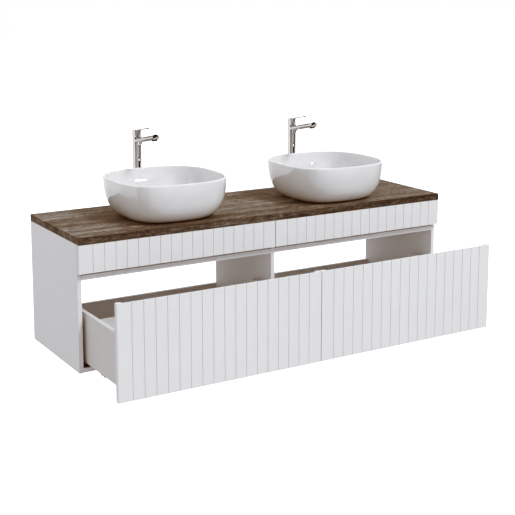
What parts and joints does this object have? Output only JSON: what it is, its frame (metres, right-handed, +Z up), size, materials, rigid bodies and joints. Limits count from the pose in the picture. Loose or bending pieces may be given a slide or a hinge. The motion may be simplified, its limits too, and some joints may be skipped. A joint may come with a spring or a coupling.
{
  "type": "vessel sink vanity",
  "caption": "Wall-hung bathroom vanity with a wood-decor top, vessel basins, tall single-lever taps and grooved pull-out drawers.",
  "frame": {"origin": "centre of the wall rail's back face, on the wall, 380 mm above the carcass underside", "axes": "+X along the width to the right as seen from the front, +Y into the wall, +Z up"},
  "size_m": [1.6, 0.7936, 0.8088],
  "materials": {
    "white_board": "matt white lacquered board",
    "drawer_board": "light grey-white melamine",
    "oak_decor": "rustic dark oak decor, low sheen",
    "ceramic": "gloss white glaze",
    "chrome": "polished chrome",
    "zinc_steel": "zinc plated",
    "black_plastic": "moulded, matt"
  },
  "bodies": {
    "carcass": {"worktop": "oak_decor", "left_side_panel": "white_board", "right_side_panel": "white_board", "centre_divider": "white_board", "bottom_panel": "white_board", "lower_back_panel": "white_board", "upper_back_rail": "white_board", "top_stretcher": "white_board", "wall_rail": "zinc_steel", "left_hanger": "zinc_steel", "right_hanger": "zinc_steel", "left_front_rail": "white_board", "right_front_rail": "white_board", "left_upper_front": "white_board", "right_upper_front": "white_board", "left_drawer_left_cabinet_runner": "zinc_steel", "left_drawer_right_cabinet_runner": "zinc_steel", "right_drawer_left_cabinet_runner": "zinc_steel", "right_drawer_right_cabinet_runner": "zinc_steel", "left_basin": "ceramic", "left_waste": "chrome", "left_waste_nut": "zinc_steel", "right_basin": "ceramic", "right_waste": "chrome", "right_waste_nut": "zinc_steel", "left_tap_body": "chrome", "left_tap_aerator": "black_plastic", "left_tap_nut": "zinc_steel", "right_tap_body": "chrome", "right_tap_aerator": "black_plastic", "right_tap_nut": "zinc_steel"},
    "left_drawer": {"left_drawer_front": "white_board", "left_drawer_left_side": "drawer_board", "left_drawer_right_side": "drawer_board", "left_drawer_back": "drawer_board", "left_drawer_bottom": "drawer_board", "left_drawer_left_drawer_runner": "zinc_steel", "left_drawer_right_drawer_runner": "zinc_steel", "left_drawer_left_catch": "black_plastic", "left_drawer_right_catch": "black_plastic"},
    "right_drawer": {"right_drawer_front": "white_board", "right_drawer_left_side": "drawer_board", "right_drawer_right_side": "drawer_board", "right_drawer_back": "drawer_board", "right_drawer_bottom": "drawer_board", "right_drawer_left_drawer_runner": "zinc_steel", "right_drawer_right_drawer_runner": "zinc_steel", "right_drawer_left_catch": "black_plastic", "right_drawer_right_catch": "black_plastic"},
    "left_drawer_carriage": {"left_drawer_left_middle_runner": "zinc_steel", "left_drawer_right_middle_runner": "zinc_steel"},
    "right_drawer_carriage": {"right_drawer_left_middle_runner": "zinc_steel", "right_drawer_right_middle_runner": "zinc_steel"},
    "left_tap_stem": {"left_tap_cartridge": "zinc_steel"},
    "right_tap_stem": {"right_tap_cartridge": "zinc_steel"},
    "left_tap_lever": {"left_tap_handle": "chrome"},
    "right_tap_lever": {"right_tap_handle": "chrome"},
    "left_plug": {"left_plug": "chrome"},
    "right_plug": {"right_plug": "chrome"}
  },
  "joints": [
    {"name": "left_drawer_slide", "type": "slide", "parent": "carcass", "child": "left_drawer", "axis": [0, -1, 0], "range_m": [-0.314, 0.08]},
    {"name": "right_drawer_slide", "type": "slide", "parent": "carcass", "child": "right_drawer", "axis": [0, -1, 0], "range_m": [-0.314, 0.08]},
    {"name": "left_carriage_slide", "type": "slide", "parent": "carcass", "child": "left_drawer_carriage", "axis": [0, -1, 0], "range_m": [-0.157, 0.04]},
    {"name": "right_carriage_slide", "type": "slide", "parent": "carcass", "child": "right_drawer_carriage", "axis": [0, -1, 0], "range_m": [-0.157, 0.04]},
    {"name": "left_tap_swivel", "type": "hinge", "parent": "carcass", "child": "left_tap_stem", "pos_m": [-0.363, -0.026, 0.3928], "axis": [0, 0, 1], "range_deg": [-45, 45]},
    {"name": "right_tap_swivel", "type": "hinge", "parent": "carcass", "child": "right_tap_stem", "pos_m": [0.363, -0.026, 0.3928], "axis": [0, 0, 1], "range_deg": [-45, 45]},
    {"name": "left_tap_lift", "type": "hinge", "parent": "left_tap_stem", "child": "left_tap_lever", "pos_m": [-0.363, -0.026, 0.3928], "axis": [-1, 0, 0], "range_deg": [0, 22]},
    {"name": "right_tap_lift", "type": "hinge", "parent": "right_tap_stem", "child": "right_tap_lever", "pos_m": [0.363, -0.026, 0.3928], "axis": [-1, 0, 0], "range_deg": [0, 22]},
    {"name": "left_plug_press", "type": "slide", "parent": "carcass", "child": "left_plug", "axis": [0, 0, -1], "range_m": [0, 0.0075]},
    {"name": "right_plug_press", "type": "slide", "parent": "carcass", "child": "right_plug", "axis": [0, 0, -1], "range_m": [0, 0.0075]}
  ],
  "couplings": [
    {"joint": "left_carriage_slide", "follows": "left_drawer_slide", "ratio": 0.5},
    {"joint": "right_carriage_slide", "follows": "right_drawer_slide", "ratio": 0.5}
  ]
}
